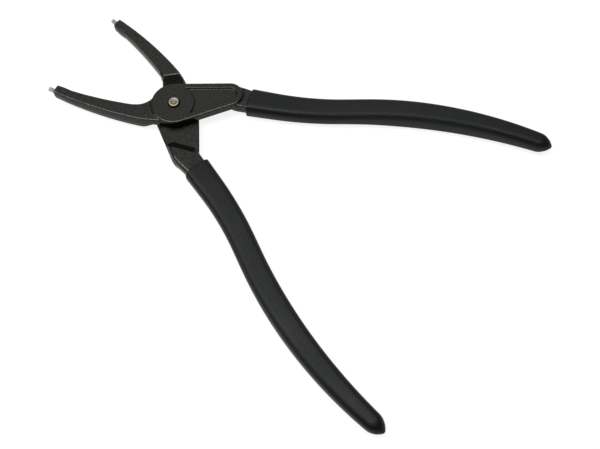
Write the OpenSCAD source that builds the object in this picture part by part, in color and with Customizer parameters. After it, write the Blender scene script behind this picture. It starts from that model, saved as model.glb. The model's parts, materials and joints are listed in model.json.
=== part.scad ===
// Circlip pliers for internal rings: two forged levers lapped on a rivet, straight tip pins, dipped grips.
// Each lever is drawn closed with its outer face up: the jaw runs along +X and the handle along -X,
// and the lapped face is z = 0. The rear lever is the same forging turned over about the tool's long axis.

/* [Joint] */
// Angle between the two levers as the tool lies here, 0 with the tips together
open_angle = 44; // [2:1:60]
// Radius of the round joint plate at its lapped face
plate_r = 15.1; // [13:0.1:18]
// Thickness of each joint plate
plate_t = 5.5; // [4.5:0.25:7]
// Running gap between the two lapped faces
lap_gap = 0.1; // [0.05:0.05:0.3]
// Distance along the tool from the pivot to the centre of the tongue's round end
tongue_reach = 33; // [28:0.5:40]
// Distance of that centre from the tool's long axis
tongue_offset = 13.1; // [12:0.1:15]
// Radius of the tongue's round end at the lapped face
tongue_end_r = 8.8; // [8:0.1:11]
// Forging draft on the side walls of plate, jaw and tang, in degrees
draft = 5; // [3:1:10]
// Rounding of the plate's outer edge
plate_edge_r = 1; // [0.4:0.1:1.6]
// Chamfer round the plate's lapped face
lap_chamfer = 0.8; // [0.2:0.1:1.2]
// Slope of the ramps that end the lapped recess, in degrees
ramp_slope = 36; // [28:1:50]
// Rounding where a ramp meets the face of jaw or tang
ramp_edge_r = 2; // [0.5:0.1:3]
// Clearance between the plate and the ramp under the jaw
ramp_clearance = 0.8; // [0.4:0.1:2]
// Distance from the pivot to the slanting ramp under the handle
tang_ramp_reach = 24.2; // [22:0.2:27]
// Distance from the pivot to the cross ramp under the handle
cross_ramp_reach = 20.6; // [19.4:0.2:22]

/* [Recessed panel] */
// Width of the rim around the recessed panel
panel_rim = 3.8; // [2.6:0.1:4.6]
// Depth of the recessed panel
panel_depth = 1; // [0.4:0.1:1.6]
// Radius of the panel's edge round the pivot
panel_inner_r = 12.6; // [11:0.1:13.6]

/* [Rivet] */
// Diameter of the rivet's shank
rivet_d = 6; // [5:0.1:7]
// Radial running clearance of the front lever on the shank
pivot_clearance = 0.05; // [0.02:0.01:0.1]
// Diameter of the flush head at the back
rivet_head_d = 10; // [8.6:0.2:12]
// Depth of the flush head's cone
rivet_head_depth = 1.8; // [1.2:0.1:2.4]
// How far the upset front end swells past the shank
rivet_upset = 0.15; // [0.1:0.05:0.5]
// Height of the front end above the plate
rivet_proud = 1.2; // [0.5:0.1:1.6]
// Diameter of the dish in the front end
rivet_dish_d = 4.2; // [3:0.1:4.8]
// Depth of the dish in the front end
rivet_dish_depth = 0.35; // [0.2:0.05:0.5]
// Diameter of the countersink round the front end
countersink_d = 7.6; // [7.2:0.1:9]
// Depth of that countersink
countersink_depth = 1.5; // [1.1:0.1:2]

/* [Jaw] */
// Distance along the tool from the pivot to the start of the jaw's curve
jaw_root_reach = 17.5; // [15:0.5:21]
// Distance of the jaw's centre line from the tool's long axis at its root
jaw_root_offset = 10.2; // [9.6:0.1:11]
// Radius of the jaw's centre line
jaw_curve_r = 250; // [235:5:300]
// Length of the jaw along its curve
jaw_length = 61; // [50:0.5:64]
// Width of the jaw at its root, across the parting line at mid height
jaw_root_w = 11.3; // [10:0.1:12]
// Width of the jaw at its end, across the parting line
jaw_end_w = 5.8; // [5:0.1:6.2]
// Thickness of the jaw at its root
jaw_root_t = 9.4; // [7:0.2:10]
// Thickness of the jaw at its end
jaw_end_t = 7.4; // [5:0.2:7.8]
// Narrowing of the jaw's outer side where its root runs into the plate
jaw_root_taper = 1.2; // [0.4:0.1:1.6]
// Rounding of the forged edges of jaw and tang
edge_r = 1; // [0.6:0.1:1.6]
// Radius of the fillet between the jaw's inner side and the plate
jaw_fillet_r = 12.5; // [8:0.5:16]
// Length of the boss that holds the tip pin
boss_length = 11; // [8:0.5:14]
// Extra width of that boss on the jaw's inner side
boss_extra_w = 0.6; // [0.3:0.1:1]
// Length over which the boss swells from the jaw
boss_rise = 4; // [2:0.5:6]

/* [Tip pins] */
// Diameter of the ground tip that stands out of the jaw
pin_d = 2.8; // [2:0.1:3.2]
// Step from the pin's held shank down to its ground tip
pin_shoulder = 0.3; // [0.2:0.05:0.4]
// Length of pin outside the jaw
pin_exposed = 5.5; // [4:0.1:8]
// Length of pin held in the jaw
pin_held = 10; // [7:0.5:14]
// Chamfer on the pin's free end
pin_chamfer = 0.3; // [0.1:0.05:0.5]

/* [Handle] */
// Distance of the handle's straight start from the tool's long axis
handle_offset = 12.4; // [11:0.2:15]
// Length of bare tang between the tongue's centre and the grip
neck_length = 12.8; // [11.8:0.2:18]
// Width of the bare tang, across the parting line at mid height
tang_w = 13.5; // [12.5:0.1:14.4]
// Extra width on the outer side where the tang leaves the tongue
neck_flare = 2.3; // [0.6:0.1:2.8]
// Length over which that extra width runs out towards the grip
neck_flare_length = 18; // [14:0.5:24]
// Length over which it runs out towards the joint
root_flare_length = 12; // [8:0.5:16]
// Thickness of the bare tang
tang_t = 8.2; // [7:0.1:9]
// Rounding of the tang's edges on the lapped side
tang_lap_r = 2.2; // [1:0.1:2.8]
// Length of straight handle behind the tongue's centre
handle_straight = 29.5; // [20:0.5:40]
// Radius of the outward bend
front_bend_r = 220; // [180:5:280]
// Outward lean between the two bends, in degrees
handle_lean = 10.7; // [8:0.1:13]
// Length of straight handle between the two bends
middle_straight = 12; // [4:1:20]
// Radius of the inward bend
rear_bend_r = 290; // [240:5:340]

/* [Grip] */
// Length of the grip along the handle
grip_length = 192; // [175:1:205]
// Wall of the dipped plastic
dip_wall = 1.5; // [1:0.1:1.8]
// Width of the grip at its front
grip_front_w = 17.6; // [16:0.2:19]
// Width of the grip at its waist
grip_waist_w = 15.2; // [13:0.1:16]
// Width of the grip towards its end
grip_end_w = 10.8; // [9:0.1:12]
// Distance from the grip's front to its waist
grip_waist_at = 74; // [60:1:90]
// Thickness of the grip at its front
grip_front_t = 11.2; // [10.4:0.1:12.4]
// Thickness of the grip at its belly
grip_belly_t = 13.7; // [12:0.1:15]
// Thickness of the grip towards its end
grip_end_t = 10; // [9:0.1:12]
// Distance from the grip's front to its belly
grip_belly_at = 106; // [95:1:120]
// Length over which the grip thickens to its belly
grip_belly_rise = 53; // [30:1:80]
// Rounding of the grip's long edges
grip_edge_r = 4; // [2.5:0.1:4.8]
// Length of the grip's rounded end
grip_nose = 8; // [5:0.5:11]
// Slant of the lip across the handle, in degrees
lip_slant = 5; // [0:1:8]
// Rounding of the lip at the grip's front
lip_r = 0.8; // [0.4:0.1:1.2]

/* [Hidden] */
// Gap where one piece is pressed or dipped on another, small enough to read as contact
seat_gap = 0.02;
// Allowance by which a cut runs past the surface it opens
over = 1;
// Largest share of a section's side that its rounded corner may take
corner_limit = 0.48;
// Size of the cutting blocks, larger than the joint in every direction
block = 90;
// Steps of each rounded corner of a lofted section, and of the circles drawn as facets
corner_steps = 4;
plate_facets = 56;
// Number of sections along the jaw, the neck, the grip and the grip's end
jaw_sections = 14;
neck_sections = 6;
handle_sections = 28;
nose_sections = 5;
// Angle through which the grip's end closes before its small flat
nose_sweep = 80;
// Lengths of the jaw's root and of the tang's root that run back into the plate
root_overlap = 13;
tang_root = tongue_reach - cross_ramp_reach + over;
// Lengths from the lip over which the tang takes the grip's form, and over which the lip's slant dies out
tang_blend = 13;
lip_blend = 18;
// Slope at which a ramp's rounding runs out over the face it meets, in degrees
ramp_run_out = 5;
// Directions in which the three ramps rise, seen from the pivot
jaw_ramp_dir = 25;
tang_ramp_dir = 232;
cross_ramp_dir = 180;
tongue_end = [-tongue_reach, -tongue_offset];
handle_start = [-tongue_reach, -handle_offset];
// Radii of the joint plate and of the tongue's end at the outer face, less by the draft
plate_top_r = plate_r - tan(draft) * plate_t;
tongue_top_r = tongue_end_r - tan(draft) * plate_t;
pin_r = pin_d / 2;
shank_r = pin_r + pin_shoulder;
rivet_r = rivet_d / 2;
// Lengths along the handle at which its sections stand, bare and then inside the grip
tang_end = neck_length + grip_length - grip_nose;
neck_end = neck_length - over;
neck_stations = [for (i = [0:neck_sections]) -tang_root + (neck_end + tang_root) * i / neck_sections];
grip_stations = [for (i = [0:handle_sections])
    neck_length + (tang_end - neck_length) * i / handle_sections];
// Colours of the blackened forgings, the dipped plastic, the hardened pins and the rivet
forging_color = [0.13, 0.13, 0.13];
dip_color = [0.16, 0.17, 0.17];
pin_color = [0.78, 0.76, 0.72];
rivet_color = [0.72, 0.67, 0.58];

// Blends that start and end level, or that leave the first value level
function ease(from, to, t) = let (u = min(max(t, 0), 1)) from + (to - from) * u * u * (3 - 2 * u);
function bow(from, to, t) = from + (to - from) * t * t;

// Outline of a bar, as points [across, up]: sides that lean in from a parting line, and corners rounded
// by one radius on the outer side and another on the lapped side
function bar_outline(w, t, r, lap_r, lean) =
    [for (corner = [0:3]) let (
        fit_r = min(corner < 2 ? r : lap_r, corner_limit * w, corner_limit * t),
        half_t = t / 2 - fit_r,
        half_w = w / 2 - (fit_r + half_t * sin(lean)) / cos(lean)
    ) each concat(
        corner % 2 == 0 ? [[(1 - corner) * w / 2, 0]] : [],
        [for (i = [0:corner_steps])
            let (a = 90 * corner + (corner % 2 == 0 ? lean : 0) + (90 - lean) * i / corner_steps)
            [
                (corner % 3 == 0 ? half_w : -half_w) + fit_r * cos(a),
                (corner < 2 ? half_t : -half_t) + fit_r * sin(a)
            ]]
    )];

// That outline standing across a path, with its centre on the path and square to its heading
function section(centre, heading, w, t, r, lap_r, lean = 0) =
    [for (p = bar_outline(w, t, r, lap_r, lean))
        [centre.x - p.x * sin(heading), centre.y + p.x * cos(heading), p.y]];

// Solid through a row of sections that all have as many points
module loft(sections) {
    n = len(sections[0]);
    last = len(sections) - 1;
    points = [for (s = sections) each s];
    sides = [for (j = [0:last - 1]) for (i = [0:n - 1])
        let (a = j * n + i, b = j * n + (i + 1) % n)
        each [[a, a + n, b], [b, a + n, b + n]]];
    start_cap = [for (i = [1:n - 2]) [0, i, i + 1]];
    end_cap = [for (i = [1:n - 2]) [last * n, last * n + i + 1, last * n + i]];
    polyhedron(points, concat(sides, start_cap, end_cap));
}

// Centre line of the jaw: [x, y, heading] at a length s from its root
function jaw_at(s) = s < 0
    ? [jaw_root_reach + s, jaw_root_offset, 0]
    : let (a = s / jaw_curve_r * 180 / PI)
        [jaw_root_reach + jaw_curve_r * sin(a), jaw_root_offset - jaw_curve_r * (1 - cos(a)), -a];

// Centre line of the handle: [x, y, heading] at a length s from the tongue's round end
function handle_at(s) =
    let (
        bend_1 = handle_straight + front_bend_r * handle_lean * PI / 180,
        bend_2 = bend_1 + middle_straight,
        lean = s < handle_straight ? 0
            : s < bend_1 ? (s - handle_straight) / front_bend_r * 180 / PI
            : s < bend_2 ? handle_lean
            : handle_lean - (s - bend_2) / rear_bend_r * 180 / PI,
        out_1 = front_bend_r * (1 - cos(min(lean, handle_lean))),
        back_1 = handle_straight + front_bend_r * sin(handle_lean),
        back_2 = back_1 + middle_straight * cos(handle_lean),
        out_2 = front_bend_r * (1 - cos(handle_lean)) + middle_straight * sin(handle_lean),
        back_out = s < handle_straight ? [s, 0]
            : s < bend_1 ? [handle_straight + front_bend_r * sin(lean), out_1]
            : s < bend_2 ? [back_1 + (s - bend_1) * cos(lean), out_1 + (s - bend_1) * sin(lean)]
            : [
                back_2 + rear_bend_r * (sin(handle_lean) - sin(lean)),
                out_2 + rear_bend_r * (cos(lean) - cos(handle_lean))
            ]
    )
    [handle_start.x - back_out.x, handle_start.y - back_out.y, 180 + lean];

// Width and thickness of the grip at a length g from its front
function grip_w(g) = g < grip_waist_at
    ? bow(grip_waist_w, grip_front_w, 1 - g / grip_waist_at)
    : bow(grip_waist_w, grip_end_w, (g - grip_waist_at) / (grip_length - grip_waist_at));
function grip_t(g) = g < grip_belly_at
    ? ease(grip_front_t, grip_belly_t, (g - grip_belly_at) / grip_belly_rise + 1)
    : bow(grip_belly_t, grip_end_t, (g - grip_belly_at) / (grip_length - grip_belly_at));

// Section of the tang at a length s along the handle, grown by a gap for the grip's inside
function tang_section(s, gap) =
    let (
        at = handle_at(s),
        g = max(s - neck_length, 0),
        under = g / tang_blend,
        flare = ease(neck_flare, 0, s > 0 ? s / neck_flare_length : -s / root_flare_length),
        centre = [at.x, at.y - flare / 2],
        w = ease(tang_w, grip_w(g) - 2 * dip_wall, under) + flare,
        t = ease(tang_t, grip_t(g) - 2 * dip_wall, under),
        r = ease(edge_r, grip_edge_r - dip_wall, under),
        lap_r = ease(tang_lap_r, grip_edge_r - dip_wall, under)
    )
    section(centre, at[2], w + 2 * gap, t + 2 * gap, r + gap, lap_r + gap, ease(draft, 0, under));

// Outline of the plate: the round joint and the tongue's round end with their two common tangents
module tongue_outline(joint_r, end_r) {
    reach = norm(tongue_end);
    dir = atan2(tongue_end.y, tongue_end.x);
    side = acos((joint_r - end_r) / reach);
    circle(joint_r, $fn = plate_facets);
    translate(tongue_end)
        circle(end_r, $fn = plate_facets);
    polygon([
        joint_r * [cos(dir + side), sin(dir + side)],
        tongue_end + end_r * [cos(dir + side), sin(dir + side)],
        tongue_end + end_r * [cos(dir - side), sin(dir - side)],
        joint_r * [cos(dir - side), sin(dir - side)]
    ]);
}

// Round button with drafted wall and rounded outer edge, from the lapped face up
module plate_button(r) {
    shrink = tan(draft) * (plate_t - plate_edge_r);
    rotate_extrude($fn = plate_facets)
        polygon(concat(
            [[0, lap_gap / 2], [r - lap_chamfer, lap_gap / 2], [r, lap_gap / 2 + lap_chamfer]],
            [for (i = [0:corner_steps])
                let (a = 90 * i / corner_steps)
                [r - shrink - plate_edge_r * (1 - cos(a)), plate_t - plate_edge_r * (1 - sin(a))]],
            [[0, plate_t]]
        ));
}

// Space under one ramp: level at the lapped face out to its foot, then falling to a face at a depth,
// with a rounding there
module under_ramp(dir, foot, depth) {
    drop = depth - ramp_edge_r * (1 - cos(ramp_slope));
    centre = [foot + drop / tan(ramp_slope) + ramp_edge_r * sin(ramp_slope), ramp_edge_r - depth];
    rotate([90, 0, dir])
        linear_extrude(2 * block, center = true)
            polygon(concat(
                [[-block, lap_gap / 2], [foot, lap_gap / 2]],
                [for (i = [0:corner_steps])
                    let (a = ramp_slope + (ramp_run_out - ramp_slope) * i / corner_steps)
                    centre - ramp_edge_r * [sin(a), cos(a)]],
                [[centre.x + block, -depth - block * tan(ramp_run_out)], [-block, -block]]
            ));
}

// Recess in which the other lever's plate turns
module lap_recess() {
    intersection() {
        under_ramp(jaw_ramp_dir, plate_r + ramp_clearance, jaw_root_t / 2);
        union() {
            under_ramp(tang_ramp_dir, tang_ramp_reach, tang_t / 2);
            under_ramp(cross_ramp_dir, cross_ramp_reach, tang_t / 2);
        }
    }
}

// Jaw with its tip boss
module jaw_body() {
    loft([for (i = [0:jaw_sections])
        let (
            s = -root_overlap + (jaw_length + root_overlap) * i / jaw_sections,
            t = max(s, 0) / jaw_length,
            at = jaw_at(s),
            extra = ease(0, boss_extra_w, (s - jaw_length + boss_length) / boss_rise),
            taper = jaw_root_taper * max(-s, 0) / root_overlap,
            w = jaw_root_w + (jaw_end_w - jaw_root_w) * t + extra - taper,
            inward = (extra + taper) / 2,
            centre = [at.x + inward * sin(at[2]), at.y - inward * cos(at[2])]
        )
        section(centre, at[2], w, bow(jaw_root_t, jaw_end_t, t), edge_r, edge_r, draft)]);
}

// Web in the corner between the jaw's inner side and the plate, hollowed by a fillet that touches both
module jaw_fillet() {
    inner_y = jaw_root_offset - jaw_root_w / 2;
    centre_y = inner_y - jaw_fillet_r;
    centre = [sqrt(pow(plate_top_r + jaw_fillet_r, 2) - pow(centre_y, 2)), centre_y];
    touch = centre * plate_top_r / (plate_top_r + jaw_fillet_r);
    linear_extrude(jaw_root_t - 2 * edge_r, center = true)
        difference() {
            polygon([
                [0, 0], touch, [centre.x, inner_y],
                [centre.x, jaw_root_offset], [0, jaw_root_offset]
            ]);
            translate(centre)
                circle(jaw_fillet_r, $fn = plate_facets);
        }
}

// Forging common to both levers, with its pivot bore
module lever(bore_r) {
    boss_at = jaw_at(jaw_length);
    difference() {
        union() {
            hull() {
                plate_button(plate_r);
                translate(tongue_end)
                    plate_button(tongue_end_r);
            }
            jaw_body();
            jaw_fillet();
            loft([for (s = concat(neck_stations, grip_stations)) tang_section(s, 0)]);
        }
        lap_recess();
        translate([0, 0, plate_t - panel_depth])
            linear_extrude(panel_depth + over)
                difference() {
                    tongue_outline(plate_top_r - panel_rim, tongue_top_r - panel_rim);
                    circle(panel_inner_r, $fn = plate_facets);
                }
        translate([0, 0, -over])
            cylinder(r = bore_r, h = plate_t + 2 * over, $fn = plate_facets);
        translate([boss_at.x, boss_at.y, 0])
            rotate([0, 0, boss_at[2]])
                rotate([0, 90, 0])
                    translate([0, 0, -pin_held])
                        cylinder(r = shank_r + seat_gap, h = pin_held + over, $fn = plate_facets);
    }
}

// Grip dipped over the tang, with a rolled lip, a waist and a rounded end
module grip() {
    body_end = grip_length - grip_nose;
    lip = [for (i = [0:corner_steps - 1])
        let (a = 90 * i / corner_steps) [lip_r * (1 - cos(a)), 1, -2 * lip_r * (1 - sin(a))]];
    body = [for (i = [0:handle_sections]) [lip_r + (body_end - lip_r) * i / handle_sections, 1, 0]];
    nose = [for (i = [1:nose_sections])
        let (a = nose_sweep * i / nose_sections) [body_end + grip_nose * sin(a), cos(a), 0]];
    difference() {
        loft([for (station = concat(lip, body, nose))
            let (
                g = station[0],
                at = handle_at(neck_length + g),
                heading = at[2] - ease(lip_slant, 0, g / lip_blend),
                w = grip_w(g) * station[1] + station[2],
                t = grip_t(g) * station[1] + station[2]
            )
            section(at, heading, w, t, grip_edge_r, grip_edge_r)]);
        loft([for (s = concat([neck_end], grip_stations)) tang_section(s, seat_gap)]);
    }
}

// Hardened pin along the jaw's end direction, with its shoulder flush with the jaw's end
module tip_pin() {
    at = jaw_at(jaw_length);
    translate([at.x, at.y, 0])
        rotate([0, 0, at[2]])
            rotate([0, 90, 0])
                translate([0, 0, -pin_held])
                    rotate_extrude($fn = plate_facets)
                        polygon([
                            [0, 0], [shank_r, 0], [shank_r, pin_held], [pin_r, pin_held],
                            [pin_r, pin_held + pin_exposed - pin_chamfer],
                            [pin_r - pin_chamfer, pin_held + pin_exposed],
                            [0, pin_held + pin_exposed]
                        ]);
}

// Places a piece of the front half, or of the rear half turned over, with the back of the joint on z = 0
module front_half() {
    translate([0, 0, plate_t])
        rotate([0, 0, open_angle / 2])
            children();
}
module rear_half() {
    translate([0, 0, plate_t])
        rotate([180, 0, -open_angle / 2])
            children();
}

module rear_lever() {
    color(forging_color)
        rear_half()
            difference() {
                lever(rivet_r + seat_gap);
                translate([0, 0, plate_t - rivet_head_depth])
                    cylinder(
                        r1 = rivet_r + seat_gap, r2 = rivet_head_d / 2 + seat_gap,
                        h = rivet_head_depth, $fn = plate_facets
                    );
            }
}

module front_lever() {
    color(forging_color)
        front_half()
            difference() {
                lever(rivet_r + pivot_clearance);
                translate([0, 0, plate_t - countersink_depth])
                    cylinder(
                        r1 = rivet_r + pivot_clearance, r2 = countersink_d / 2,
                        h = countersink_depth, $fn = plate_facets
                    );
            }
}

module rear_grip() {
    color(dip_color)
        rear_half()
            grip();
}

module front_grip() {
    color(dip_color)
        front_half()
            grip();
}

module rear_tip_pin() {
    color(pin_color)
        rear_half()
            tip_pin();
}

module front_tip_pin() {
    color(pin_color)
        front_half()
            tip_pin();
}

// Rivet with a flush head at the back and an upset, dished end that seats low in the front countersink
module pivot_rivet() {
    end_r = rivet_r + rivet_upset;
    top = plate_t + rivet_proud;
    flare_start = plate_t - countersink_depth;
    flare_slope = countersink_depth / (countersink_d / 2 - rivet_r - pivot_clearance);
    color(rivet_color)
        translate([0, 0, plate_t])
            rotate_extrude($fn = plate_facets)
                polygon([
                    [0, -plate_t],
                    [rivet_head_d / 2, -plate_t],
                    [rivet_r, rivet_head_depth - plate_t],
                    [rivet_r, flare_start],
                    [end_r, flare_start + rivet_upset * flare_slope],
                    [end_r, top - rivet_dish_depth],
                    [end_r - rivet_dish_depth, top],
                    [rivet_dish_d / 2, top],
                    [rivet_dish_d / 2 - rivet_dish_depth, top - rivet_dish_depth],
                    [0, top - rivet_dish_depth]
                ]);
}

rear_lever();
front_lever();
rear_grip();
front_grip();
rear_tip_pin();
front_tip_pin();
pivot_rivet();
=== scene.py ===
import json
import math

import bpy
from mathutils import Matrix, Vector


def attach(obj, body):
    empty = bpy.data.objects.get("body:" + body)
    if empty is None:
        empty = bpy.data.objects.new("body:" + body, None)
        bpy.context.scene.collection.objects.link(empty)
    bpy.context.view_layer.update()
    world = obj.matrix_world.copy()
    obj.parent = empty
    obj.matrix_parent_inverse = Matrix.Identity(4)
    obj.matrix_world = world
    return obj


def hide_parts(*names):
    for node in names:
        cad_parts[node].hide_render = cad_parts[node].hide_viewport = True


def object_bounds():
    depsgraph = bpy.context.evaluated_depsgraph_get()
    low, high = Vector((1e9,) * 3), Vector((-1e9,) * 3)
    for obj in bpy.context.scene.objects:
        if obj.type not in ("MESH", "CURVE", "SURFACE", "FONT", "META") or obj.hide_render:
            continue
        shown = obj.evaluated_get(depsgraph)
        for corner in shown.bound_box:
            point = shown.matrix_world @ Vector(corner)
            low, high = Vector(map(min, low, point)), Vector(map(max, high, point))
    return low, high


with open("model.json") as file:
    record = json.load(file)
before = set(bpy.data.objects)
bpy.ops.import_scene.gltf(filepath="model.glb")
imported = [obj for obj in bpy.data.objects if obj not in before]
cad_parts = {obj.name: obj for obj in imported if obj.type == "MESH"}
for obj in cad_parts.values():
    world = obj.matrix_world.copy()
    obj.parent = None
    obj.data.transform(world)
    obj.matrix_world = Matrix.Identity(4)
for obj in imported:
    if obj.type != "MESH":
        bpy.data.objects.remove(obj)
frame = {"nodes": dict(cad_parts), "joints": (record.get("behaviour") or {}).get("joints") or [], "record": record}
cad_low, cad_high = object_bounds()
scene = bpy.context.scene
scene.view_settings.view_transform = "Standard"

# The two levers are one drop forging made twice: jaw, joint plate and handle in a single bar of steel.
# They are blackened, with a fine scale, painted shade in the crevices, and paler metal on the edges that is partly
# worn and partly a painted highlight.
# The solids of the part stay; a fine skin over each rounds its corners as the die and the blasting do.
lap_height = frame["joints"][0]["pos_m"][2]
forging_skin = 0.0003
forging_rounding, forging_rounding_passes = 0.5, 4
forging_mesh_share = 0.3
forging_black = (0.017, 0.017, 0.0153, 1)
forging_grey = (0.051, 0.051, 0.046, 1)
# The next two colours are painted light: shade for the crevices, and a paler edge that is partly wear and partly a
# painted highlight.
forging_crevice_painted_shade = (0.014, 0.014, 0.013, 1)
forging_wear_and_highlight = (0.20, 0.20, 0.19, 1)
forging_edge_tint = (0.63, 0.63, 0.645, 1)
forging_metal = 0.85
forging_smooth, forging_rough = 0.19, 0.25
forging_relief, forging_relief_depth = 0.5, 0.00004
scale_spot, scale_patch, scale_relief = 0.0010, 0.012, 0.6
crevice_reach, crevice_full, crevice_none = 0.0016, 0.65, 0.98
wear_highlight_reach, wear_highlight_break_up, wear_and_highlight_share, rub_dulling = 0.0020, 1000.0, 0.45, 0.25
lap_line_width, lap_ground_none, lap_ground_full = 0.0006, 0.0002, 0.0001
corner_samples, corner_none, corner_full = 8, 0.85, 0.55


def add(tree, kind, settings=None, inputs=None):
    """Adds one node to a shader tree; an input is a value or the output of another node."""
    node = tree.nodes.new(kind)
    for name, value in (settings or {}).items():
        setattr(node, name, value)
    for name, value in (inputs or {}).items():
        if isinstance(value, bpy.types.NodeSocket):
            tree.links.new(value, node.inputs[name])
        else:
            node.inputs[name].default_value = value
    return node


def math_node(tree, operation, a, b=0.0):
    return add(tree, "ShaderNodeMath", {"operation": operation}, {0: a, 1: b}).outputs[0]


def remap(tree, value, low, high, to_low=0.0, to_high=1.0):
    inputs = {"Value": value, "From Min": low, "From Max": high, "To Min": to_low, "To Max": to_high}
    return add(tree, "ShaderNodeMapRange", {}, inputs).outputs["Result"]


def mix_color(tree, share, a, b):
    return add(tree, "ShaderNodeMix", {"data_type": "RGBA"}, {0: share, 6: a, 7: b}).outputs[2]


def clouds(tree, point, scale, detail, low=0.3, high=0.7):
    """Noise over the surface, spread so that its usual low is 0 and its usual high is 1."""
    noise = add(tree, "ShaderNodeTexNoise", {}, {"Vector": point, "Scale": scale, "Detail": detail})
    return remap(tree, noise.outputs["Fac"], low, high)


def surface_point(tree):
    return add(tree, "ShaderNodeTexCoord").outputs["Object"]


def surface_height(tree):
    return add(tree, "ShaderNodeSeparateXYZ", {}, {0: surface_point(tree)}).outputs["Z"]


def axis_distance(tree):
    """Distance of the surface from the piece's own Z axis."""
    flat = {0: surface_point(tree), 1: (1, 1, 0)}
    level = add(tree, "ShaderNodeVectorMath", {"operation": "MULTIPLY"}, flat).outputs["Vector"]
    return add(tree, "ShaderNodeVectorMath", {"operation": "LENGTH"}, {0: level}).outputs["Value"]


def add_relief(tree, shader, height, strength, depth):
    bump = add(tree, "ShaderNodeBump", {}, {"Height": height, "Strength": strength, "Distance": depth})
    tree.links.new(bump.outputs["Normal"], shader.inputs["Normal"])


def new_group(name, inputs, outputs):
    """Starts a shader node group with float inputs and outputs; returns its tree and its two end nodes."""
    tree = bpy.data.node_groups.new(name, "ShaderNodeTree")
    for label, default in inputs.items():
        socket = tree.interface.new_socket(name=label, in_out="INPUT", socket_type="NodeSocketFloat")
        socket.default_value = default
    for label in outputs:
        tree.interface.new_socket(name=label, in_out="OUTPUT", socket_type="NodeSocketFloat")
    return tree, add(tree, "NodeGroupInput"), add(tree, "NodeGroupOutput")


def new_material(name):
    """Starts a material with one Principled shader; returns the material, its tree and the shader."""
    material = bpy.data.materials.new(name)
    material.use_nodes = True
    tree = material.node_tree
    return material, tree, tree.nodes["Principled BSDF"]


def place(tree, group, values):
    return add(tree, "ShaderNodeGroup", {"node_tree": group}, values).outputs


# Fine grain: a mottle of small spots over larger cloudy patches, both from 0 to 1
fine_grain, tree_in, tree_out = new_group(
    "fine_grain", {"Spot Size": 0.0006, "Patch Size": 0.01}, ["Spots", "Patches"]
)
for size, detail, output in (("Spot Size", 3.0, "Spots"), ("Patch Size", 4.0, "Patches")):
    frequency = math_node(fine_grain, "DIVIDE", 1.0, tree_in.outputs[size])
    mottling = clouds(fine_grain, surface_point(fine_grain), frequency, detail)
    fine_grain.links.new(mottling, tree_out.inputs[output])

# Edge wear and painted highlight: 1 on outer corners, where the metal is thin behind the surface, broken up by a
# fine noise
edge_wear_and_highlight, tree_in, tree_out = new_group("edge_wear_and_highlight", {"Reach": 0.0012, "Break Up": 900.0}, ["Mask"])
behind = add(
    edge_wear_and_highlight, "ShaderNodeAmbientOcclusion",
    {"inside": True, "samples": corner_samples},
    {"Distance": tree_in.outputs["Reach"]},
).outputs["AO"]
thin = remap(edge_wear_and_highlight, behind, corner_none, corner_full)
break_up = tree_in.outputs["Break Up"]
broken = clouds(edge_wear_and_highlight, surface_point(edge_wear_and_highlight), break_up, detail=3.0, low=0.30, high=0.55)
edge_wear_and_highlight.links.new(math_node(edge_wear_and_highlight, "MULTIPLY", thin, broken), tree_out.inputs["Mask"])

# Turned rings: fine lines round the piece's own Z axis, on its faces and along its walls
turned_rings, tree_in, tree_out = new_group("turned_rings", {"Line Width": 0.00012}, ["Lines"])
profile_point = add(
    turned_rings, "ShaderNodeCombineXYZ", {},
    {"X": axis_distance(turned_rings), "Y": surface_height(turned_rings)},
).outputs[0]
frequency = math_node(turned_rings, "DIVIDE", 1.0, tree_in.outputs["Line Width"])
turning = clouds(turned_rings, profile_point, frequency, detail=2.0)
turned_rings.links.new(turning, tree_out.inputs["Lines"])

blackened_forging, tree, shader = new_material("blackened_forging")
grain = place(tree, fine_grain, {"Spot Size": scale_spot, "Patch Size": scale_patch})
wear_and_highlight_mask = place(tree, edge_wear_and_highlight, {"Reach": wear_highlight_reach, "Break Up": wear_highlight_break_up})["Mask"]
# Crevices get a darker colour from the occlusion below: painted shade where the surface is hemmed in.
open_face = add(
    tree, "ShaderNodeAmbientOcclusion", {"samples": corner_samples}, {"Distance": crevice_reach}
).outputs["AO"]
mottle = mix_color(tree, grain["Spots"], forging_black, forging_grey)
shaded = mix_color(tree, remap(tree, open_face, crevice_full, crevice_none), forging_crevice_painted_shade, mottle)
# Outer edges are painted paler: partly worn metal, partly a painted highlight along each corner.
worn = mix_color(tree, math_node(tree, "MULTIPLY", wear_and_highlight_mask, wear_and_highlight_share), shaded, forging_wear_and_highlight)
tree.links.new(worn, shader.inputs["Base Color"])
shader.inputs["Metallic"].default_value = forging_metal
shader.inputs["Specular Tint"].default_value = forging_edge_tint
dull = math_node(tree, "MULTIPLY", wear_and_highlight_mask, rub_dulling)
patchy = remap(tree, grain["Patches"], 0.0, 1.0, forging_smooth, forging_rough)
tree.links.new(math_node(tree, "ADD", dull, patchy), shader.inputs["Roughness"])
lap_rings = place(tree, turned_rings, {"Line Width": lap_line_width})["Lines"]
off_lap = math_node(tree, "ABSOLUTE", math_node(tree, "SUBTRACT", surface_height(tree), lap_height))
ground = math_node(tree, "MULTIPLY", lap_rings, remap(tree, off_lap, lap_ground_none, lap_ground_full))
relief = math_node(tree, "ADD", math_node(tree, "MULTIPLY", grain["Spots"], scale_relief), ground)
add_relief(tree, shader, relief, forging_relief, forging_relief_depth)

for name in ("rear_lever", "front_lever"):
    lever = frame["nodes"][name]
    skin = lever.modifiers.new("forged_skin", "REMESH")
    skin.mode = "VOXEL"
    skin.voxel_size = forging_skin
    skin.use_smooth_shade = True
    rounding = lever.modifiers.new("rounded_corners", "SMOOTH")
    rounding.factor = forging_rounding
    rounding.iterations = forging_rounding_passes
    lean = lever.modifiers.new("lean_mesh", "DECIMATE")
    lean.ratio = forging_mesh_share
    lever.data.materials.clear()
    lever.data.materials.append(blackened_forging)
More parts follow.
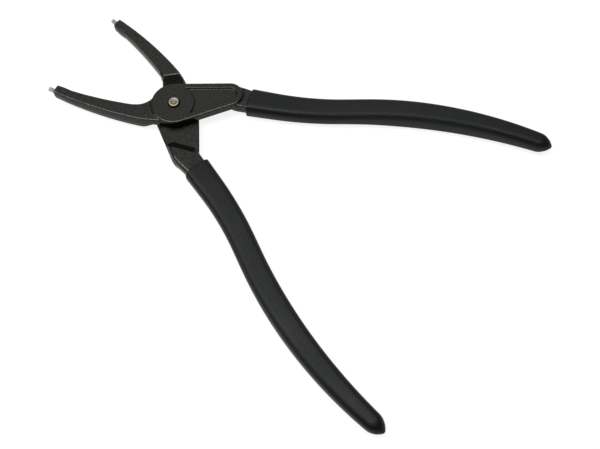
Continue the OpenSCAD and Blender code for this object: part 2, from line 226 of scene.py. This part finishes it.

# The two grips are soft plastic skins, made by dipping the handles and curing the coat in an oven.
# Each has a rolled lip in front, broad flat faces with round corners, a waist and a drip point at the end.
# The coat is matte black with a faint green cast and a fine grain, paler and rougher over the middle of each grip,
# between 5 and 23.5 cm from the rivet.
half_open = math.radians(22)
grip_start = Vector((-0.033, -0.0124))
neck_length = 0.0128
handle_straight = 0.0295
front_bend_r = 0.220
handle_lean = math.radians(10.7)
middle_straight = 0.012
rear_bend_r = 0.290
path_step = 0.0005
grip_length = 0.192
grip_nose, grip_nose_turn = 0.008, math.radians(88)
grip_front_w, grip_waist_w, grip_end_w = 0.0176, 0.0152, 0.0108
grip_front_t, grip_belly_t, grip_end_t = 0.0112, 0.0137, 0.0100
grip_waist_at, grip_belly_at, grip_belly_rise = 0.074, 0.106, 0.053
grip_edge_r, grip_edge_limit = 0.004, 0.48
grip_crown = 0.00006
lip_slant = math.radians(5)
lip_blend = 0.018
lip_r = 0.0008
lip_mouth_w, lip_mouth_t, lip_mouth_depth = 0.0128, 0.0078, 0.0012
drip_length, drip_share = 0.0007, 0.55
lip_steps, grip_rings, grip_nose_steps = 6, 120, 24
grip_ring_spread = 1.15
grip_corner_steps, grip_flat_steps = 7, 5
pale_band_start, pale_band_full, pale_band_fades, pale_band_end = 0.050, 0.110, 0.185, 0.235
dip_black = (0.0030, 0.0037, 0.0035, 1)
dip_grey = (0.0125, 0.0144, 0.0138, 1)
dip_spot, dip_spot_share = 0.0009, 0.7
dip_patch, dip_patch_share = 0.02, 0.15
dip_pale_outside, dip_pale_middle = 0.35, 1.15
dip_rough_outside, dip_rough_middle, dip_rough_patch = 0.43, 0.52, 0.04
dip_gloss = 0.18
dip_relief, dip_relief_depth = 0.5, 0.00006


def ease(low, high, share):
    share = min(max(share, 0.0), 1.0)
    return low + (high - low) * share * share * (3 - 2 * share)


def bow(low, high, share):
    return low + (high - low) * share * share


def handle_at(length):
    """Place and heading of the handle's middle line, at a length from the tongue of a lever drawn closed."""
    bends_at = handle_straight + front_bend_r * handle_lean
    leans_at = bends_at + middle_straight
    point, heading = Vector(grip_start), math.pi
    for i in range(int(length / path_step)):
        middle = (i + 0.5) * path_step
        lean = min(max(middle - handle_straight, 0) / front_bend_r, handle_lean)
        lean -= max(middle - leans_at, 0) / rear_bend_r
        heading = math.pi + lean
        point = point + path_step * Vector((math.cos(heading), math.sin(heading)))
    return point + (length % path_step) * Vector((math.cos(heading), math.sin(heading))), heading


def grip_width(g):
    if g < grip_waist_at:
        return bow(grip_waist_w, grip_front_w, 1 - g / grip_waist_at)
    return bow(grip_waist_w, grip_end_w, (g - grip_waist_at) / (grip_length - grip_waist_at))


def grip_thickness(g):
    if g < grip_belly_at:
        return ease(grip_front_t, grip_belly_t, (g - grip_belly_at) / grip_belly_rise + 1)
    return bow(grip_belly_t, grip_end_t, (g - grip_belly_at) / (grip_length - grip_belly_at))


def dipped_outline(width, thickness):
    """Rounded rectangle with slightly crowned faces, as pairs of [across, up]."""
    corner = min(grip_edge_r, grip_edge_limit * width, grip_edge_limit * thickness)
    half_w, half_t = width / 2 - corner - grip_crown, thickness / 2 - corner - grip_crown
    corners = [(half_w, half_t), (-half_w, half_t), (-half_w, -half_t), (half_w, -half_t)]
    points = []
    for quarter, centre in enumerate(corners):
        for i in range(grip_corner_steps + 1):
            angle = math.pi / 2 * (quarter + i / grip_corner_steps)
            points.append((centre[0] + corner * math.cos(angle), centre[1] + corner * math.sin(angle)))
        ahead = corners[(quarter + 1) % 4]
        for i in range(1, grip_flat_steps):
            share = i / grip_flat_steps
            out = corner + grip_crown * 4 * share * (1 - share)
            points.append((
                centre[0] + (ahead[0] - centre[0]) * share + out * math.cos(angle),
                centre[1] + (ahead[1] - centre[1]) * share + out * math.sin(angle),
            ))
    return points


def grip_stations():
    """Rows of [length from the lip, share of the full section, growth of the section] from mouth to end."""
    body_end = grip_length - grip_nose
    rows = []
    for i in range(lip_steps):
        angle = math.pi / 2 * i / lip_steps
        rows.append((lip_r * (1 - math.cos(angle)), 1.0, -2 * lip_r * (1 - math.sin(angle))))
    for i in range(grip_rings + 1):
        rows.append((lip_r + (body_end - lip_r) * (i / grip_rings) ** grip_ring_spread, 1.0, 0.0))
    for i in range(1, grip_nose_steps + 1):
        angle = grip_nose_turn * i / grip_nose_steps
        share = math.cos(angle)
        drip = ease(0, drip_length, 1 - share / drip_share)
        rows.append((body_end + grip_nose * math.sin(angle) + drip, share, 0.0))
    return rows


def ring_across(g, slant, outline):
    """Outline set across the handle's middle line, on a lever drawn closed with its lapped face at z = 0."""
    point, heading = handle_at(neck_length + g)
    across = Vector((-math.sin(heading - slant), math.cos(heading - slant)))
    return [(point.x + a * across.x, point.y + a * across.y, up) for a, up in outline]


def grip_ring(g, share, growth):
    outline = dipped_outline(grip_width(g) * share + growth, grip_thickness(g) * share + growth)
    return ring_across(g, ease(lip_slant, 0, g / lip_blend), outline)


def skin_rings(name, rings):
    """Closed mesh through a row of rings of equal length, each end closed by a fan to its middle."""
    count = len(rings[0])
    points = [p for ring in rings for p in ring]
    faces = []
    for j in range(len(rings) - 1):
        for i in range(count):
            k = (i + 1) % count
            faces.append((j * count + i, (j + 1) * count + i, (j + 1) * count + k, j * count + k))
    for start, turned in ((0, False), ((len(rings) - 1) * count, True)):
        ring = points[start:start + count]
        points.append(tuple(sum(p[axis] for p in ring) / count for axis in range(3)))
        for i in range(count):
            a, b = start + i, start + (i + 1) % count
            faces.append((b, a, len(points) - 1) if turned else (a, b, len(points) - 1))
    mesh = bpy.data.meshes.new(name)
    mesh.from_pydata(points, [], faces)
    mesh.validate()
    mesh.shade_smooth()
    return mesh


dipped_plastic, tree, shader = new_material("dipped_plastic")
grain = place(tree, fine_grain, {"Spot Size": dip_spot, "Patch Size": dip_patch})
from_rivet = axis_distance(tree)
grip_middle_share = math_node(
    tree, "MULTIPLY",
    remap(tree, from_rivet, pale_band_start, pale_band_full),
    remap(tree, from_rivet, pale_band_end, pale_band_fades),
)
speckle = math_node(
    tree, "ADD",
    math_node(tree, "MULTIPLY", grain["Spots"], dip_spot_share),
    math_node(tree, "MULTIPLY", grain["Patches"], dip_patch_share),
)
pale = math_node(tree, "MULTIPLY", speckle, remap(tree, grip_middle_share, 0.0, 1.0, dip_pale_outside, dip_pale_middle))
tree.links.new(mix_color(tree, pale, dip_black, dip_grey), shader.inputs["Base Color"])
patchy = remap(tree, grain["Patches"], 0.0, 1.0, -dip_rough_patch, dip_rough_patch)
rough = remap(tree, grip_middle_share, 0.0, 1.0, dip_rough_outside, dip_rough_middle)
tree.links.new(math_node(tree, "ADD", patchy, rough), shader.inputs["Roughness"])
shader.inputs["Specular IOR Level"].default_value = dip_gloss
add_relief(tree, shader, grain["Spots"], dip_relief, dip_relief_depth)

front_place = Matrix.Translation((0, 0, lap_height)) @ Matrix.Rotation(half_open, 4, "Z")
turned_over = Matrix.Rotation(-half_open, 4, "Z") @ Matrix.Rotation(math.pi, 4, "X")
rear_place = Matrix.Translation((0, 0, lap_height)) @ turned_over
mouth = ring_across(lip_mouth_depth, 0, dipped_outline(lip_mouth_w, lip_mouth_t))
dip_rings = [mouth] + [grip_ring(*row) for row in grip_stations()]
for name, body, placed in (("front_grip", "front_half", front_place), ("rear_grip", "rear_half", rear_place)):
    grip = bpy.data.objects.new(name + "_dip", skin_rings(name + "_dip", dip_rings))
    grip.data.transform(placed)
    scene.collection.objects.link(grip)
    grip.data.materials.append(dipped_plastic)
    finer = grip.modifiers.new("smooth_coat", "SUBSURF")
    finer.levels = finer.render_levels = 1
    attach(grip, body)
    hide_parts(name)

# The tip pins are hardened steel wire, pressed into the jaws' ends and ground to a smaller round tip.
# Only the bright tip stands out, with a small chamfer at its end and fine grinding lines round it.
tip_r, tip_out, tip_held, tip_shank_r = 0.0014, 0.0055, 0.010, 0.0017
tip_chamfer, tip_corner = 0.0003, 0.00012
tip_sides = 48
pin_bright = (0.66, 0.65, 0.61, 1)
pin_dull = (0.48, 0.47, 0.435, 1)
pin_edge_tint = (0.05, 0.046, 0.038, 1)
pin_smooth, pin_rough = 0.42, 0.50
pin_line_width = 0.00015
pin_relief, pin_relief_depth = 0.2, 0.00001


def lathe(name, profile, sides):
    """Closed mesh turned from a profile of [radius, height] points about the Z axis."""
    turns = [2 * math.pi * i / sides for i in range(sides)]
    rings = [[(r * math.cos(turn), r * math.sin(turn), z) for turn in turns] for r, z in profile]
    mesh = skin_rings(name, rings)
    mesh.flip_normals()
    return mesh


ground_steel, tree, shader = new_material("ground_steel")
lines = place(tree, turned_rings, {"Line Width": pin_line_width})["Lines"]
tree.links.new(mix_color(tree, lines, pin_dull, pin_bright), shader.inputs["Base Color"])
shader.inputs["Metallic"].default_value = 1.0
shader.inputs["Specular Tint"].default_value = pin_edge_tint
tree.links.new(remap(tree, lines, 0.0, 1.0, pin_smooth, pin_rough), shader.inputs["Roughness"])
add_relief(tree, shader, lines, pin_relief, pin_relief_depth)

pin_profile = [
    (tip_shank_r - tip_corner, -tip_held), (tip_shank_r, -tip_held + tip_corner),
    (tip_shank_r, -tip_corner), (tip_shank_r - tip_corner, 0.0),
    (tip_r + tip_corner, 0.0), (tip_r, tip_corner),
    (tip_r, tip_out - tip_chamfer - tip_corner), (tip_r - tip_corner / 3, tip_out - tip_chamfer),
    (tip_r - tip_chamfer, tip_out - tip_corner), (tip_r - tip_chamfer - tip_corner, tip_out),
    (tip_r / 3, tip_out),
]
for mount in frame["record"]["mounts"]:
    if mount["kind"] != "pin":
        continue
    axis = Vector(mount["axis"])
    tip_length = mount["dims"]["length_mm"] / 1000
    jaw_end = Vector(mount["pos_m"]) - axis * tip_length / 2
    half = mount["name"].split("_")[0]
    pin = bpy.data.objects.new(half + "_pin", lathe(half + "_pin", pin_profile, tip_sides))
    scene.collection.objects.link(pin)
    pin.matrix_world = Matrix.Translation(jaw_end) @ axis.to_track_quat("Z", "Y").to_matrix().to_4x4()
    pin.data.materials.append(ground_steel)
    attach(pin, half + "_half")
    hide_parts(half + "_tip_pin")

# The rivet is a turned steel pin through both plates, with a flush cone head at the back.
# Its front end is upset in the countersink and stands a little proud, with a dish punched in it.
# It is bright, with a warm straw tint from heat, a darker colour inside the dish, and turning lines round its
# axis.
rivet_r, rivet_head_r, rivet_head_depth = 0.003, 0.005, 0.0018
rivet_end_r, rivet_top, rivet_dish_r, rivet_dish_depth = 0.00315, 0.0122, 0.0021, 0.00035
rivet_flare_at, rivet_flare_end = 0.0095, 0.0098
rivet_corner = 0.0002
rivet_rim_steps = 8
rivet_nub_r, rivet_nub_height = 0.0006, 0.00012
rivet_sides = 64
rivet_straw = (0.46, 0.41, 0.315, 1)
rivet_shade = (0.34, 0.295, 0.22, 1)
rivet_dish_tint = (0.18, 0.15, 0.105, 1)
rivet_smooth, rivet_rough = 0.46, 0.56
rivet_line_width = 0.00025
rivet_spot, rivet_patch, rivet_patch_low = 0.0003, 0.002, 0.5
rivet_relief, rivet_relief_depth = 0.25, 0.00002

straw_steel, tree, shader = new_material("straw_steel")
lines = place(tree, turned_rings, {"Line Width": rivet_line_width})["Lines"]
patches = place(tree, fine_grain, {"Spot Size": rivet_spot, "Patch Size": rivet_patch})["Patches"]
straw = math_node(tree, "MULTIPLY", lines, remap(tree, patches, 0.0, 1.0, rivet_patch_low, 1.0))
from_axis = axis_distance(tree)
in_dish = math_node(
    tree, "MULTIPLY",
    remap(tree, from_axis, rivet_dish_r, rivet_dish_r - rivet_dish_depth),
    remap(tree, from_axis, 0.0, rivet_nub_r),
)
turned_metal = mix_color(tree, straw, rivet_shade, rivet_straw)
tree.links.new(mix_color(tree, in_dish, turned_metal, rivet_dish_tint), shader.inputs["Base Color"])
shader.inputs["Metallic"].default_value = 1.0
tree.links.new(remap(tree, lines, 0.0, 1.0, rivet_smooth, rivet_rough), shader.inputs["Roughness"])
add_relief(tree, shader, lines, rivet_relief, rivet_relief_depth)

dish_floor = rivet_top - rivet_dish_depth
nub_top = dish_floor + rivet_nub_height
rim_middle, rim_half = (rivet_end_r + rivet_dish_r) / 2, (rivet_end_r - rivet_dish_r) / 2
rivet_profile = [
    (rivet_head_r / 3, 0.0), (rivet_head_r - rivet_corner, 0.0),
    (rivet_head_r - rivet_corner / 4, rivet_corner / 4), (rivet_r, rivet_head_depth),
    (rivet_r, rivet_flare_at), (rivet_end_r, rivet_flare_end),
]
for i in range(rivet_rim_steps + 1):
    turn = math.pi * i / rivet_rim_steps
    rim_height = dish_floor + rivet_dish_depth * math.sin(turn)
    rivet_profile.append((rim_middle + rim_half * math.cos(turn), rim_height))
rivet_profile += [(rivet_nub_r, dish_floor), (rivet_nub_r / 2, nub_top), (rivet_nub_r / 8, nub_top)]
rivet = bpy.data.objects.new("rivet", lathe("rivet", rivet_profile, rivet_sides))
scene.collection.objects.link(rivet)
rivet.data.materials.append(straw_steel)
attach(rivet, "rear_half")
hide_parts("pivot_rivet")

# The pliers lie on a plain white studio table that runs far past the view.
# It is white to the camera and in reflections, and still takes the soft shadow of the tool.
table_half = 12.0
table_white = (0.17, 0.17, 0.17, 1)
table_rough = 0.9
table_glow = 0.87

white_table, tree, shader = new_material("white_table")
shader.inputs["Base Color"].default_value = table_white
shader.inputs["Roughness"].default_value = table_rough
shader.inputs["Specular IOR Level"].default_value = 0.0
path = add(tree, "ShaderNodeLightPath")
seen = math_node(
    tree, "MAXIMUM",
    math_node(tree, "MAXIMUM", path.outputs["Is Camera Ray"], path.outputs["Is Glossy Ray"]),
    path.outputs["Is Transmission Ray"],
)
shader.inputs["Emission Color"].default_value = (1, 1, 1, 1)
tree.links.new(math_node(tree, "MULTIPLY", seen, table_glow), shader.inputs["Emission Strength"])
corners = ((-1, -1), (1, -1), (1, 1), (-1, 1))
top = bpy.data.meshes.new("table")
top.from_pydata([(x * table_half, y * table_half, cad_low.z) for x, y in corners], [], [(0, 1, 2, 3)])
table = bpy.data.objects.new("table", top)
scene.collection.objects.link(table)
table.data.materials.append(white_table)

# A broad soft box stands behind the tool, and a long brighter one hangs over it, in a dim room.
# So flat faces take a soft sheen, corners a thin bright line, and slopes towards the viewer stay dark.
view_centre = Vector((-0.1111, 0.0258, lap_height))
view_back = Vector((-0.2222, 0.3454, 0.9118))
room_high, room_low = 0.04, 0.40
room_bright_below, room_dim_above = 0.10, 0.40
backward = Vector((-view_back.x, -view_back.y, 0)).normalized()
leftward = Vector((-backward.y, backward.x, 0))


def hang_soft_box(name, left, back, distance, length, width, power):
    """Hangs a lamp that faces the tool; left and back say how far it leans out for each unit of height."""
    lamp = bpy.data.lights.new(name, "AREA")
    lamp.shape = "RECTANGLE"
    lamp.size, lamp.size_y = length, width
    lamp.energy = power
    outward = (left * leftward + back * backward + Vector((0, 0, 1))).normalized()
    along = (leftward - leftward.dot(outward) * outward).normalized()
    turn = Matrix((along, outward.cross(along), outward)).transposed().to_4x4()
    soft_box = bpy.data.objects.new(name, lamp)
    scene.collection.objects.link(soft_box)
    soft_box.matrix_world = Matrix.Translation(view_centre + distance * outward) @ turn


hang_soft_box("back_soft_box", left=0.0, back=1.1, distance=1.35, length=1.8, width=1.8, power=7.7)
hang_soft_box("top_soft_box", left=0.3, back=0.0, distance=1.10, length=1.6, width=0.50, power=15.5)
room = bpy.data.worlds.new("room")
room.use_nodes = True
tree = room.node_tree
direction = add(tree, "ShaderNodeTexCoord").outputs["Generated"]
rise = add(tree, "ShaderNodeSeparateXYZ", {}, {0: direction}).outputs["Z"]
room_light = remap(tree, rise, room_bright_below, room_dim_above, room_low, room_high)
tree.nodes["Background"].inputs["Color"].default_value = (1, 1, 1, 1)
tree.links.new(room_light, tree.nodes["Background"].inputs["Strength"])
scene.world = room

# The camera looks down on the tool from the side of its handles.
# It stands close, so the handle nearer to it looks a little larger.
camera_distance = 0.4536
camera_lens, camera_sensor = 45.9, 36.0
camera_data = bpy.data.cameras.new("camera")
camera_data.lens = camera_lens
camera_data.sensor_width = camera_sensor
camera = bpy.data.objects.new("camera", camera_data)
scene.collection.objects.link(camera)
camera.location = view_centre + camera_distance * view_back
camera.rotation_euler = (-view_back).to_track_quat("-Z", "Y").to_euler()
scene.camera = camera
